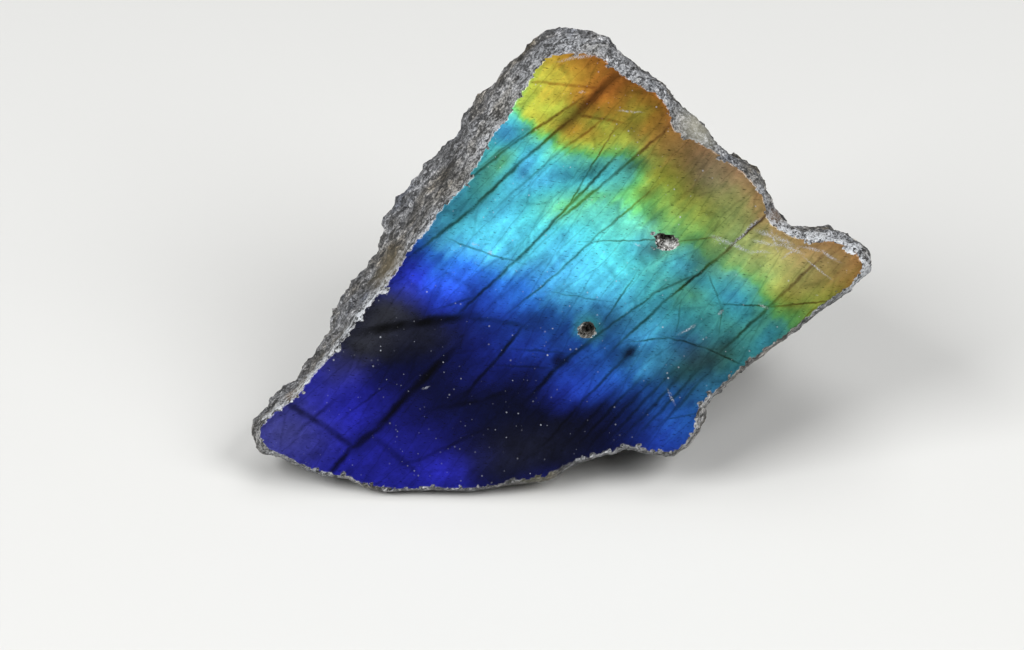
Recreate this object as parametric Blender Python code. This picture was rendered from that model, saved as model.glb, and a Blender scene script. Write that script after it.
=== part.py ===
"""A rough chunk of labradorite with one lapped, polished face.

The stone is one piece. It is modelled as such a stone is made: a block with a broken outline is
split along its cleavages, its broken sides are roughened, one face is ground flat, and a flat
patch underneath lets it rest with that face leaning back.

The stone is shaped in millimetres in the polished face's own frame: u runs to the right along
the face, v up the face, and w out of it, so that all the rock lies at w < 0. It is then leaned
back, stood on the floor and turned to metres, with +Z up and the face looking towards -Y.
"""

import math

import bmesh
import bpy
from mathutils import Matrix, Vector, noise

# Pose of the polished face
LEAN_BACK_DEG = 31.0  # from upright
TURN_DEG = -2.0  # about the face's own upright line
FACE_CENTRE_HEIGHT = 15.75  # the face frame's origin above the floor

# The widest outline, clockwise from the left corner: u, v and how deep behind the face it lies
LEFT_FLANK = [
    (-29.4, -11.5, 2.0),
    (-28.4, -10.5, 3.0),
    (-26.9, -9.1, 4.5),
    (-25.9, -8.6, 6.0),
    (-25.8, -8.0, 8.0),
    (-24.8, -6.1, 10.0),
    (-23.4, -3.8, 12.0),
    (-22.8, -2.1, 13.0),
    (-22.6, -1.4, 13.0),
    (-22.1, -0.8, 12.0),
    (-21.0, 0.3, 10.0),
    (-20.0, 1.3, 9.0),
    (-19.3, 2.9, 9.5),
    (-19.2, 3.7, 10.0),
    (-18.8, 5.5, 10.0),
    (-17.8, 6.9, 9.0),
    (-17.3, 8.2, 8.0),
    (-16.0, 9.1, 7.0),
    (-14.0, 10.8, 6.0),
    (-13.0, 11.6, 5.0),
    (-12.2, 12.6, 4.5),
    (-11.6, 12.8, 4.2),
    (-11.7, 13.3, 4.0),
    (-11.4, 14.5, 4.0),
    (-10.4, 15.8, 4.0),
    (-9.4, 17.9, 4.0),
    (-8.2, 19.3, 3.6),
    (-7.3, 19.7, 3.4),
]
APEX = [
    (-6.0, 20.6, 3.0),
    (-4.4, 21.5, 2.6),
    (-3.3, 21.7, 2.4),
    (-0.8, 21.6, 2.2),
    (0.7, 20.9, 2.0),
    (1.5, 20.0, 1.8),
]
UPPER_RIGHT_EDGE = [
    (3.3, 18.3, 1.6),
    (5.4, 16.9, 1.5),
    (6.1, 15.7, 1.5),
    (7.1, 14.8, 1.6),
    (8.7, 13.6, 1.7),
    (9.6, 12.2, 1.6),
    (11.2, 10.8, 1.4),
    (12.1, 10.4, 1.3),
    (13.4, 9.4, 1.2),
    (14.2, 7.9, 1.2),
    (14.8, 6.9, 1.2),
]
RIGHT_ARM = [
    (14.5, 6.6, 1.2),
    (15.0, 6.1, 1.3),
    (15.8, 5.3, 1.4),
    (16.7, 4.8, 1.4),
    (18.4, 4.7, 1.4),
    (19.3, 4.9, 1.4),
    (20.7, 4.4, 1.5),
    (22.4, 3.5, 1.5),
    (22.8, 2.7, 1.5),
    (23.0, 1.8, 1.4),
    (22.4, 1.0, 1.3),
]
LOWER_RIGHT_EDGE = [
    (20.9, -0.3, 1.0),
    (18.6, -1.8, 0.9),
    (16.7, -3.5, 0.9),
    (15.0, -4.7, 0.9),
    (11.8, -7.2, 0.9),
    (9.6, -9.2, 1.0),
    (8.9, -10.0, 1.3),
    (9.0, -10.6, 1.5),
]
LOBE = [
    (8.5, -12.1, 1.2),
    (7.5, -13.4, 1.0),
    (6.4, -14.1, 0.8),
    (5.6, -14.2, 0.8),
    (4.2, -14.0, 0.8),
    (2.7, -13.6, 0.8),
    (2.1, -13.4, 0.8),
]
BOTTOM_EDGE = [
    (1.4, -14.1, 0.8),
    (0.2, -14.1, 0.8),
    (-0.8, -14.6, 0.8),
    (-1.9, -14.7, 0.8),
    (-3.1, -15.6, 0.9),
    (-4.6, -16.3, 1.0),
    (-6.2, -16.5, 1.0),
    (-7.5, -16.6, 0.9),
    (-9.2, -17.0, 0.8),
    (-11.0, -17.2, 0.8),
    (-13.3, -17.1, 0.7),
    (-15.8, -17.1, 0.7),
    (-17.9, -17.3, 0.7),
    (-20.0, -16.7, 0.7),
    (-21.2, -16.1, 0.7),
    (-23.3, -15.9, 0.8),
    (-25.8, -14.8, 0.9),
    (-27.5, -14.1, 1.0),
    (-28.2, -14.3, 1.1),
    (-28.8, -13.8, 1.3),
    (-29.1, -12.3, 1.6),
]
WIDEST_OUTLINE = (
    LEFT_FLANK + APEX + UPPER_RIGHT_EDGE + RIGHT_ARM + LOWER_RIGHT_EDGE + LOBE + BOTTOM_EDGE
)

# The edge of the polished face, clockwise from the left corner: u and v
FACE_UP_THE_LEFT = [
    (-28.0, -11.5),
    (-26.6, -10.0),
    (-25.2, -9.1),
    (-24.4, -7.8),
    (-22.3, -5.4),
    (-20.6, -3.3),
    (-19.2, -1.4),
    (-17.8, 0.1),
    (-16.6, 1.9),
    (-15.5, 3.6),
    (-14.1, 5.0),
    (-12.9, 6.8),
    (-11.2, 8.3),
    (-10.0, 10.4),
    (-8.3, 13.1),
    (-7.3, 13.9),
    (-7.1, 15.0),
    (-6.2, 16.2),
    (-5.4, 17.7),
    (-4.3, 19.0),
]
FACE_ACROSS_THE_TOP = [
    (-2.1, 19.3),
    (0.0, 19.0),
    (1.5, 17.7),
    (2.9, 16.8),
    (4.6, 16.2),
    (5.7, 15.0),
    (6.1, 13.8),
    (5.8, 12.9),
    (7.5, 12.1),
    (9.1, 11.6),
]
FACE_ALONG_THE_RIGHT = [
    (10.8, 10.4),
    (12.0, 9.5),
    (12.9, 8.4),
    (13.6, 7.2),
    (13.7, 6.4),
    (13.7, 5.4),
    (15.3, 4.6),
    (16.5, 3.8),
    (17.9, 3.7),
    (19.2, 3.9),
    (20.4, 3.5),
    (21.3, 2.8),
    (21.8, 1.8),
    (21.7, 1.1),
    (20.7, 0.0),
    (18.5, -1.5),
    (16.5, -3.2),
    (14.9, -4.4),
    (11.7, -6.9),
    (9.4, -8.9),
    (8.5, -9.9),
]
FACE_ALONG_THE_BOTTOM = [
    (7.9, -10.5),
    (8.2, -11.7),
    (7.2, -13.1),
    (6.3, -13.7),
    (5.6, -13.8),
    (4.2, -13.6),
    (2.7, -13.2),
    (2.0, -13.0),
    (1.3, -13.7),
    (0.2, -13.8),
    (-0.8, -14.3),
    (-1.9, -14.4),
    (-3.1, -15.2),
    (-4.6, -15.9),
    (-6.2, -16.1),
    (-9.1, -16.6),
    (-11.0, -16.9),
    (-15.8, -16.8),
    (-17.8, -17.0),
    (-19.8, -16.4),
    (-21.1, -15.8),
    (-23.2, -15.6),
    (-25.6, -14.5),
    (-27.2, -13.6),
    (-28.1, -12.9),
    (-28.4, -12.2),
]
FACE_OUTLINE = (
    FACE_UP_THE_LEFT + FACE_ACROSS_THE_TOP + FACE_ALONG_THE_RIGHT + FACE_ALONG_THE_BOTTOM
)

# The block before it is split
STATION_SPACING = 0.5  # along the widest outline
STOCK_IN_FRONT = 1.2  # rock that the lapping takes off
BLOCK_THICKNESS = 26.0
FLANK_BULGE_AT = 0.4  # share of the flank's depth at which it is furthest out of straight
FLANK_BULGE = 0.62  # share of the flank's width reached there
BACK_DRAW_IN = 0.94  # the block's back is this much smaller than its widest outline

# The stone splits along two cleavages: one parallel to the polished face, and one that stands on
# the face and runs up it to the right.
CLEAVAGE_RISE_DEG = 48.0
# Ledges on the back: how far across the cleavage each riser stands, which way it looks
# (-1 to the upper left, +1 to the lower right), its tread's depth, how far the pair is turned,
# and where along the cleavage it starts and ends
PAST_THE_END = 60.0
BACK_LEDGES = [
    (-11.5, -1, 13.0, 4.0, -PAST_THE_END, PAST_THE_END),
    (-9.6, -1, 14.6, 1.5, -PAST_THE_END, 1.0),
    (-6.0, -1, 16.5, -3.0, -PAST_THE_END, PAST_THE_END),
    (-2.2, -1, 18.3, 3.5, -7.0, PAST_THE_END),
    (0.5, -1, 20.0, 2.0, -PAST_THE_END, 6.0),
    (3.9, -1, 21.2, -1.5, -13.0, PAST_THE_END),
    (9.5, 1, 19.0, -5.0, -PAST_THE_END, PAST_THE_END),
    (11.6, 1, 16.2, -2.0, 3.0, PAST_THE_END),
    (13.0, 1, 14.5, 3.0, -PAST_THE_END, PAST_THE_END),
]
# Uneven breaks that cross the cleavages: the way each looks (degrees anticlockwise from u, and
# degrees back from the face's plane) and its distance from the face frame's origin
UNEVEN_BREAKS = [
    (88.0, 54.0, 18.5),
    (192.0, 42.0, 25.0),
    (18.0, 47.0, 22.0),
    (128.0, 33.0, 18.0),
    (312.0, 50.0, 21.5),
]

# Roughness of the broken sides
GRAIN = 0.32  # the mesh of the rough block, before it is thinned out
LUMP_SIZE = 6.0
LUMP_HEIGHT = 0.8
CHIP_SIZE = 2.4
CHIP_HEIGHT = 0.42
GRIT_SIZE = 0.9
GRIT_HEIGHT = 0.16
# Each kind starts at one depth below the face, so that the face's edge stays true, and has its
# full height from another
LUMPS_FROM_TO = (5.0, 15.0)
CHIPS_FROM_TO = (0.4, 5.0)
GRIT_FROM_TO = (0.2, 1.2)
CLEAVED_WITHIN = (0.93, 0.985)  # how squarely a surface lies on a cleavage, as a cosine
CLEAVED_ROUGHNESS = 0.4  # of that elsewhere
FRAGMENTS_APART = 7.3  # sets the levels of neighbouring fragments free of each other
TRIANGLES = 11800

# Pits in the polished face: u, v, radius, depth
PITS = [
    (-1.0, -3.5, 0.80, 0.60),
    (5.7, 4.0, 1.05, 0.70),
    (5.1, 4.7, 0.55, 0.45),
]
PIT_ROUGHNESS = 0.28  # share of the radius
PIT_SWELLS = 1.7  # how closely the swellings of a pit's wall follow each other
PIT_CENTRE_ABOVE_FACE = 0.07

LABRADORITE = (0.035, 0.040, 0.075, 1.0)
LABRADORITE_ROUGHNESS = 0.45

METRES_PER_MM = 0.001
NEARLY_NOTHING = 1e-9  # smaller than any length or angle that the shape is made of
ON_THE_CUT = 1e-5  # a corner this close to a cut lies on it


def clear_scene():
    for obj in list(bpy.data.objects):
        bpy.data.objects.remove(obj)


def active(obj):
    bpy.ops.object.select_all(action="DESELECT")
    obj.select_set(True)
    bpy.context.view_layer.objects.active = obj


def apply_modifier(obj, kind, **settings):
    modifier = obj.modifiers.new(kind.title(), kind)
    for name, value in settings.items():
        setattr(modifier, name, value)
    active(obj)
    bpy.ops.object.modifier_apply(modifier=modifier.name)


def object_from(bm, name):
    mesh = bpy.data.meshes.new(name)
    bm.to_mesh(mesh)
    bm.free()
    obj = bpy.data.objects.new(name, mesh)
    bpy.context.scene.collection.objects.link(obj)
    return obj


def evenly_along(outline, spacing):
    """Points spaced evenly along a closed outline, each value read between its neighbours."""
    points = [Vector(point) for point in outline]
    pairs = list(zip(points, points[1:] + points[:1]))
    lengths = [(b.xy - a.xy).length for a, b in pairs]
    count = round(sum(lengths) / spacing)
    step = sum(lengths) / count
    spaced = []
    travelled = 0.0
    for (a, b), length in zip(pairs, lengths):
        while len(spaced) * step < travelled + length and len(spaced) < count:
            share = (len(spaced) * step - travelled) / length
            spaced.append(a.lerp(b, share))
        travelled += length
    return spaced


def reach(outline, direction):
    """How far the outline lies from the origin along a direction. Every ray meets it once."""
    for a, b in zip(outline, outline[1:] + outline[:1]):
        start, end = Vector(a), Vector(b)
        side = end - start
        across = direction.x * side.y - direction.y * side.x
        if abs(across) < NEARLY_NOTHING:
            continue
        distance = (start.x * side.y - start.y * side.x) / across
        share = (start.x * direction.y - start.y * direction.x) / across
        if distance > 0 and 0.0 <= share <= 1.0:
            return distance
    raise ValueError("the outline isn't closed round the origin")


def flank_of(station):
    """The points down one side of the block, from its front to its back."""
    outer = station.xy.length
    depth = station.z
    direction = station.xy / outer
    inner = min(reach(FACE_OUTLINE, direction), outer)
    bulge = inner + (outer - inner) * FLANK_BULGE
    profile = [
        (inner, STOCK_IN_FRONT),
        (inner, 0.0),
        (bulge, -depth * FLANK_BULGE_AT),
        (outer, -depth),
        (outer * (1 + BACK_DRAW_IN) / 2, -(depth + BLOCK_THICKNESS) / 2),
        (outer * BACK_DRAW_IN, -BLOCK_THICKNESS),
    ]
    return [Vector((*(direction * radius), w)) for radius, w in profile]


def broken_block():
    """The block with the stone's outline, lofted from the front to the back."""
    bm = bmesh.new()
    flanks = []
    for station in evenly_along(WIDEST_OUTLINE, STATION_SPACING):
        flanks.append([bm.verts.new(point) for point in flank_of(station)])
    for flank, beside in zip(flanks, flanks[1:] + flanks[:1]):
        for level in range(len(flank) - 1):
            bm.faces.new((flank[level], beside[level], beside[level + 1], flank[level + 1]))
    bm.faces.new([flank[0] for flank in reversed(flanks)])
    bm.faces.new([flank[-1] for flank in flanks])
    bmesh.ops.triangulate(bm, faces=bm.faces)
    bmesh.ops.recalc_face_normals(bm, faces=bm.faces)
    return object_from(bm, "labradorite_chunk")


def cut_away(obj, cutter):
    """Takes the cutter's volume off the object."""
    apply_modifier(obj, "BOOLEAN", operation="DIFFERENCE", solver="EXACT", object=cutter)
    bpy.data.objects.remove(cutter)


def corner_box(placement, start, end):
    """A big box over x > 0 and z < 0 of its placement, from start to end along y."""
    bm = bmesh.new()
    bmesh.ops.create_cube(bm, size=1.0)
    bm.transform(Matrix.Translation((0.5, 0.0, -0.5)))
    bm.transform(Matrix.Diagonal((PAST_THE_END, end - start, PAST_THE_END, 1.0)))
    bm.transform(Matrix.Translation((0.0, (start + end) / 2, 0.0)))
    bm.transform(placement)
    return object_from(bm, "cutter")


def cleave_ledges(obj):
    """Steps the back down along the two cleavages."""
    for across, side, depth, turn_deg, start, end in BACK_LEDGES:
        facing = math.radians(CLEAVAGE_RISE_DEG - 90.0 * side + turn_deg)
        if side < 0:
            start, end = -end, -start
        riser = Matrix.Rotation(facing, 4, "Z")
        tilt = Matrix.Rotation(math.radians(turn_deg), 4, "Y")
        corner = Matrix.Translation(riser @ Vector((across * side, 0.0, -depth)))
        cut_away(obj, corner_box(corner @ riser @ tilt, start, end))


def break_across(obj):
    """Knocks the corners off along uneven breaks."""
    for around_deg, back_deg, distance in UNEVEN_BREAKS:
        around = math.radians(around_deg)
        back = math.radians(back_deg)
        outward = Vector(
            (
                math.cos(back) * math.cos(around),
                math.cos(back) * math.sin(around),
                -math.sin(back),
            )
        )
        keep_below(obj, outward * distance, outward)


def keep_below(obj, point, outward):
    """Cuts the object flat through a point and keeps what lies behind the cut."""
    bm = bmesh.new()
    bm.from_mesh(obj.data)
    bmesh.ops.bisect_plane(
        bm,
        geom=bm.verts[:] + bm.edges[:] + bm.faces[:],
        dist=ON_THE_CUT,
        plane_co=point,
        plane_no=outward,
        clear_outer=True,
    )
    open_edges = [edge for edge in bm.edges if edge.is_boundary]
    bmesh.ops.holes_fill(bm, edges=open_edges, sides=0)
    bmesh.ops.recalc_face_normals(bm, faces=bm.faces)
    bm.to_mesh(obj.data)
    bm.free()


def share(value, start_and_end):
    """How far a value has come from a start to an end, from 0 to 1."""
    start, end = start_and_end
    return min(max((value - start) / (end - start), 0.0), 1.0)


def chip_height(point):
    """One level for each fragment of a shattered surface, from -1 to 1."""
    nearest = noise.voronoi(point / CHIP_SIZE)[1][0]
    return noise.noise(nearest * FRAGMENTS_APART)


def roughness_facing(normal):
    """A split along a cleavage is smoother than a break across it."""
    across = math.radians(CLEAVAGE_RISE_DEG - 90.0)
    cleavages = [Vector((0.0, 0.0, 1.0)), Vector((math.cos(across), math.sin(across), 0.0))]
    squarest = max(abs(normal.dot(cleavage)) for cleavage in cleavages)
    return 1.0 - (1.0 - CLEAVED_ROUGHNESS) * share(squarest, CLEAVED_WITHIN)


def roughen(obj):
    """Breaks up the sides of the block and leaves the edge of the face true."""
    apply_modifier(obj, "REMESH", mode="VOXEL", voxel_size=GRAIN)
    bm = bmesh.new()
    bm.from_mesh(obj.data)
    bm.normal_update()
    normals = [vertex.normal.copy() for vertex in bm.verts]
    for vertex, normal in zip(bm.verts, normals):
        point = vertex.co.copy()
        depth = -point.z
        height = LUMP_HEIGHT * share(depth, LUMPS_FROM_TO) * noise.noise(point / LUMP_SIZE)
        height += CHIP_HEIGHT * share(depth, CHIPS_FROM_TO) * chip_height(point)
        height += GRIT_HEIGHT * share(depth, GRIT_FROM_TO) * noise.noise(point / GRIT_SIZE)
        vertex.co += normal * height * roughness_facing(normal)
    bm.to_mesh(obj.data)
    bm.free()
    triangles = sum(len(polygon.vertices) - 2 for polygon in obj.data.polygons)
    apply_modifier(obj, "DECIMATE", ratio=TRIANGLES / triangles)


def pit_cutter(u, v, radius, depth):
    """A rough little bowl, sunk in the face."""
    bm = bmesh.new()
    bmesh.ops.create_icosphere(bm, subdivisions=2, radius=1.0)
    for vertex in bm.verts:
        swell = noise.noise(vertex.co * PIT_SWELLS + Vector((u, v, 0.0)))
        vertex.co *= 1.0 + PIT_ROUGHNESS * swell
    bm.transform(Matrix.Diagonal((radius, radius, depth, 1.0)))
    bm.transform(Matrix.Translation((u, v, PIT_CENTRE_ABOVE_FACE)))
    return object_from(bm, "cutter")


def lean_back(obj):
    """Stands the stone on the floor with its face leaning back."""
    upright = Matrix.Rotation(math.radians(90.0 - LEAN_BACK_DEG), 4, "X")
    turned = Matrix.Rotation(math.radians(TURN_DEG), 4, "Y")
    raised = Matrix.Translation((0.0, 0.0, FACE_CENTRE_HEIGHT))
    obj.data.transform(raised @ upright @ turned)


def centre_over_origin(obj):
    """Moves the stone sideways until its box is centred on the origin."""
    xs = [vertex.co.x for vertex in obj.data.vertices]
    ys = [vertex.co.y for vertex in obj.data.vertices]
    middle = Vector(((min(xs) + max(xs)) / 2, (min(ys) + max(ys)) / 2, 0.0))
    obj.data.transform(Matrix.Translation(-middle))


def labradorite():
    material = bpy.data.materials.new("labradorite")
    material.use_nodes = True
    shader = material.node_tree.nodes["Principled BSDF"]
    shader.inputs["Base Color"].default_value = LABRADORITE
    shader.inputs["Roughness"].default_value = LABRADORITE_ROUGHNESS
    return material


def build_chunk():
    chunk = broken_block()
    cleave_ledges(chunk)
    break_across(chunk)
    roughen(chunk)
    keep_below(chunk, Vector((0.0, 0.0, 0.0)), Vector((0.0, 0.0, 1.0)))
    for pit in PITS:
        cut_away(chunk, pit_cutter(*pit))
    lean_back(chunk)
    keep_below(chunk, Vector((0.0, 0.0, 0.0)), Vector((0.0, 0.0, -1.0)))
    centre_over_origin(chunk)
    chunk.data.transform(Matrix.Scale(METRES_PER_MM, 4))
    chunk.data.materials.append(labradorite())


clear_scene()
build_chunk()
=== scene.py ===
"""The looks of a rough chunk of labradorite with one lapped and polished face.

The CAD stone is recut in a finer mesh. Its broken sides get their steps, splinters, chips and
grit, and the edge of the polished face gets its nicks. One material then shows the stone's two
surfaces: the polish, with its schiller painted in as the sheen shows from the front, healed
cracks and dust, and the broken rock all round, with painted shade and glints.

Lengths named in mm are in the polished face's own frame: u runs to the right along the face,
v up the face and w out of it, with the rock at w < 0. Everything else is in metres.
"""

import math

import bpy
import numpy as np
from mathutils import Matrix, Vector, noise
from mathutils.kdtree import KDTree


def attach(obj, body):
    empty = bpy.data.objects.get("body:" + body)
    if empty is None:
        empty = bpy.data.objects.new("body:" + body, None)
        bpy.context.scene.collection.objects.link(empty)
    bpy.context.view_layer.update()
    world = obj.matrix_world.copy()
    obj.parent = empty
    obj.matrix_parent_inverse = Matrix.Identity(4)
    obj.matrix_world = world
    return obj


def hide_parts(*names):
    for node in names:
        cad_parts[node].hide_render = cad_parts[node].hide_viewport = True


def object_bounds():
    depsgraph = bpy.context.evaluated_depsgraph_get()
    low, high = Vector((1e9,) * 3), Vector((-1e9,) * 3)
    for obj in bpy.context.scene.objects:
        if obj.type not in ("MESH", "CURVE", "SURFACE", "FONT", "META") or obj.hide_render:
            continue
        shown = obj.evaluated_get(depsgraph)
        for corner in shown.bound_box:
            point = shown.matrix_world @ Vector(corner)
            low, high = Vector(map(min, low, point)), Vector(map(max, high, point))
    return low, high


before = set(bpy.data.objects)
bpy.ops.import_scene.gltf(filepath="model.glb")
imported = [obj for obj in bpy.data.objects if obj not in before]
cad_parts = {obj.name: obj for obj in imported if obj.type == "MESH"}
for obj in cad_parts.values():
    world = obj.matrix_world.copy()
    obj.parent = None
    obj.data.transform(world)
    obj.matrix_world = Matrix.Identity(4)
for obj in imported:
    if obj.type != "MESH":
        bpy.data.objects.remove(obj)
cad_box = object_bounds()

MM = 0.001

# How the polished face stands, and two points that place its frame on the stone
LEAN_BACK_DEG = 31.0
TURN_DEG = -2.0
FACE_RIGHT_END_U = 21.8
FACE_TOP_V = 19.3
CLEAVAGE_DEG = 48.0  # the cleavage runs up the face to the right

# The stone's mesh, in mm
GRAIN = 0.285  # the mesh that the broken surface is cut in
ON_THE_FACE = 0.12  # a point this close to the polished plane belongs to it
LOOKS_FORWARD = 0.8  # the least cosine between the normal of a point on the polish and the face's
CLOSE_TO_THE_RIM = 1.4  # the mesh is cut finer on the broken rock this near to the face
RIM_DEPTH = 1.0  # the rock this near behind the face shows where the polish ends
SMOOTH_BELOW_DEG = 40.0  # edges sharper than this stay hard

# Pits in the polish, in mm: the middles of a round one and a wide one
ROUND_PIT = (-1.0, -3.5)
WIDE_PIT = (5.7, 4.0)
PITS = [ROUND_PIT, WIDE_PIT]
PIT_REACH = 1.5  # the pit and its edge lie within this of its middle
PIT_DEPTH = 2.0  # deeper than any pit
PIT_CUTS = 2  # how much finer the mesh is in a pit
WIDE_PIT_FLATTER = 0.36  # the share of its height that is pressed out of it, towards its bottom
WIDE_PIT_BOTTOM_V = 3.2
PIT_CRUMB_SIZE = 0.5
PIT_CRUMB_HEIGHT = 0.5
PIT_CRUMBS_BELOW = -0.06  # how near to the polished plane a crumb reaches
PIT_EDGE_TIGHTER = 4.0  # the nicks round a pit reach this many times less far

# Broken surface: size and height of each kind of break, in mm
STEPS = (3.4, 0.9)  # flat-sided, where the rock parted along its cleavages
SPLINTERS = (1.6, 0.60)
CHIPS = (0.8, 0.34)
GRIT = (0.30, 0.16)
# Depth behind the face, in mm, at which they start and are full
CHIPPED_FROM_TO = (0.05, 0.9)  # chips and grit
SPLINTERED_FROM_TO = (0.8, 3.5)  # steps and splinters
# Height above the floor at which they start and are full, so that the stone rests as the CAD does
CHIPS_ABOVE_FLOOR = (0.05, 1.6)
STEPS_ABOVE_FLOOR = (0.05, 4.5)

# Nicks in the edge of the polished face
NICK_SIZE = 0.8
NICK_REACH = 0.7  # how far in from the edge
NICK_DEPTH = 0.5
NICK_STARTS_AT = -0.12  # the noise level above which the edge is nicked
NICK_NOISE = (0.8, 2.0, 3)  # how fast the finer lumps fade, how much finer each is, and how many
CRUMB_NOISE = (0.7, 2.0, 3)
FINE_EDGE = 1.0  # the polish is cut finer this near to its edge, so that the nicks are small


# ---------------------------------------------------------------- small helpers


def linear(hex_colour):
    """An sRGB hex colour as linear RGBA."""
    value = hex_colour.lstrip("#")
    channels = [int(value[i : i + 2], 16) / 255 for i in (0, 2, 4)]
    return [c / 12.92 if c <= 0.04045 else ((c + 0.055) / 1.055) ** 2.4 for c in channels] + [1.0]


def select_only(obj):
    bpy.ops.object.select_all(action="DESELECT")
    obj.select_set(True)
    bpy.context.view_layer.objects.active = obj


def apply_modifier(obj, kind, **settings):
    modifier = obj.modifiers.new(kind.title(), kind)
    for name, value in settings.items():
        setattr(modifier, name, value)
    select_only(obj)
    bpy.ops.object.modifier_apply(modifier=modifier.name)


def points_of(obj):
    flat = np.empty(len(obj.data.vertices) * 3)
    obj.data.vertices.foreach_get("co", flat)
    return flat.reshape(-1, 3)


def normals_of(obj):
    flat = np.empty(len(obj.data.vertices) * 3)
    obj.data.vertices.foreach_get("normal", flat)
    return flat.reshape(-1, 3)


def move_points(obj, points):
    obj.data.vertices.foreach_set("co", points.ravel())
    obj.data.update()


def level(values, start_and_end):
    """0 at the start and 1 at the end, level beyond them."""
    start, end = start_and_end
    return np.clip((values - start) / (end - start), 0.0, 1.0)


def weigh(obj, name, weights):
    """Makes a vertex group with one weight for each vertex."""
    group = obj.vertex_groups.new(name=name)
    for index in np.nonzero(weights > 0.001)[0]:
        group.add([int(index)], float(weights[index]), "REPLACE")


# ---------------------------------------------------------------- the face's own frame


def face_frame(node):
    """The matrix from the face's frame, in mm, to the world, read from the CAD stone."""
    lean = Matrix.Rotation(math.radians(90.0 - LEAN_BACK_DEG), 3, "X")
    turn = Matrix.Rotation(math.radians(TURN_DEG), 3, "Y")
    axes = lean @ turn
    local = points_of(node) @ np.array(axes)
    on_face = local[:, 2] > local[:, 2].max() - 0.01 * MM
    u = local[on_face, 0].max() - FACE_RIGHT_END_U * MM
    v = local[on_face, 1].max() - FACE_TOP_V * MM
    origin = axes @ Vector((u, v, local[:, 2].max()))
    return Matrix.LocRotScale(origin, axes.to_quaternion(), Vector((MM, MM, MM)))


STONE_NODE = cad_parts["labradorite_chunk"]
FACE = face_frame(STONE_NODE)


def to_face(points):
    """World points, in metres, as u, v and w in mm."""
    inverse = np.array(FACE.inverted())
    return points @ inverse[:3, :3].T + inverse[:3, 3]


def to_world(points):
    matrix = np.array(FACE)
    return points @ matrix[:3, :3].T + matrix[:3, 3]


def looking_forward(obj):
    """The cosine between each point's normal and the polished face's."""
    return normals_of(obj) @ np.array(FACE.to_3x3().normalized())[:, 2]


# ---------------------------------------------------------------- the stone's shape


def recut_stone():
    """A copy of the CAD stone, recut in a fine even mesh."""
    stone = bpy.data.objects.new("stone", STONE_NODE.data.copy())
    bpy.context.scene.collection.objects.link(stone)
    stone.data.materials.clear()
    select_only(stone)
    bpy.ops.mesh.customdata_custom_splitnormals_clear()
    bpy.ops.object.mode_set(mode="EDIT")
    bpy.ops.mesh.select_all(action="SELECT")
    bpy.ops.mesh.remove_doubles(threshold=0.001 * MM)
    bpy.ops.object.mode_set(mode="OBJECT")
    apply_modifier(stone, "REMESH", mode="VOXEL", voxel_size=GRAIN * MM)
    return stone


def cut_finer(stone, chosen, cuts):
    """Subdivides the faces whose corners are all chosen."""
    faces = [all(chosen[i] for i in face.vertices) for face in stone.data.polygons]
    select_only(stone)
    bpy.ops.object.mode_set(mode="EDIT")
    bpy.ops.mesh.select_mode(type="FACE")
    bpy.ops.mesh.select_all(action="DESELECT")
    bpy.ops.object.mode_set(mode="OBJECT")
    stone.data.polygons.foreach_set("select", faces)
    bpy.ops.object.mode_set(mode="EDIT")
    bpy.ops.mesh.subdivide(number_cuts=cuts)
    bpy.ops.object.mode_set(mode="OBJECT")


def cut_rim_finer(stone):
    """The rock beside the polished face is seen closest, so its grains are cut smaller."""
    depth = -to_face(points_of(stone))[:, 2]
    in_front = looking_forward(stone) > 0.0
    cut_finer(stone, (depth > ON_THE_FACE) & (depth < CLOSE_TO_THE_RIM) & in_front, 1)


def near_a_pit(place):
    near = np.zeros(len(place), bool)
    for pit in PITS:
        near |= np.linalg.norm(place[:, :2] - pit, axis=1) < PIT_REACH
    return near


def displace(stone, name, kind, size_and_height, group, **settings):
    """Pushes the surface in and out by a pattern of a given size and height."""
    size, height = size_and_height
    pattern = bpy.data.textures.new(name, kind)
    pattern.noise_scale = size * MM
    for key, value in settings.items():
        setattr(pattern, key, value)
    apply_modifier(
        stone,
        "DISPLACE",
        texture=pattern,
        texture_coords="LOCAL",
        strength=height * MM,
        vertex_group=group,
    )


def break_surface(stone):
    """Steps, splinters, chips and grit on every side that was broken and not polished."""
    depth = -to_face(points_of(stone))[:, 2]
    height = points_of(stone)[:, 2] / MM
    weigh(stone, "chipped", level(depth, CHIPPED_FROM_TO) * level(height, CHIPS_ABOVE_FLOOR))
    weigh(stone, "splintered", level(depth, SPLINTERED_FROM_TO) * level(height, STEPS_ABOVE_FLOOR))
    flat_sided = {"distance_metric": "CHEBYCHEV", "color_mode": "POSITION"}
    displace(stone, "steps", "VORONOI", STEPS, "splintered", **flat_sided)
    sharp = {"distance_metric": "DISTANCE_SQUARED"}
    displace(stone, "splinters", "VORONOI", SPLINTERS, "splintered", **sharp)
    displace(stone, "chips", "VORONOI", CHIPS, "chipped", distance_metric="DISTANCE")
    displace(stone, "grit", "CLOUDS", GRIT, "chipped", noise_depth=2, noise_type="HARD_NOISE")


def true_the_face(stone):
    """Presses what lies close to the polished plane onto it, and leaves nothing above it."""
    place = to_face(points_of(stone))
    polished = (place[:, 2] > -ON_THE_FACE) & (looking_forward(stone) > LOOKS_FORWARD)
    place[polished, 2] = 0.0
    place[:, 2] = np.minimum(place[:, 2], 0.0)
    keep_in_box(stone, to_world(place))


def keep_in_box(stone, world):
    """Moves the stone's points, none of them past the CAD stone's box."""
    low, high = (np.array(corner) for corner in cad_box)
    move_points(stone, np.clip(world, low, high))


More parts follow.
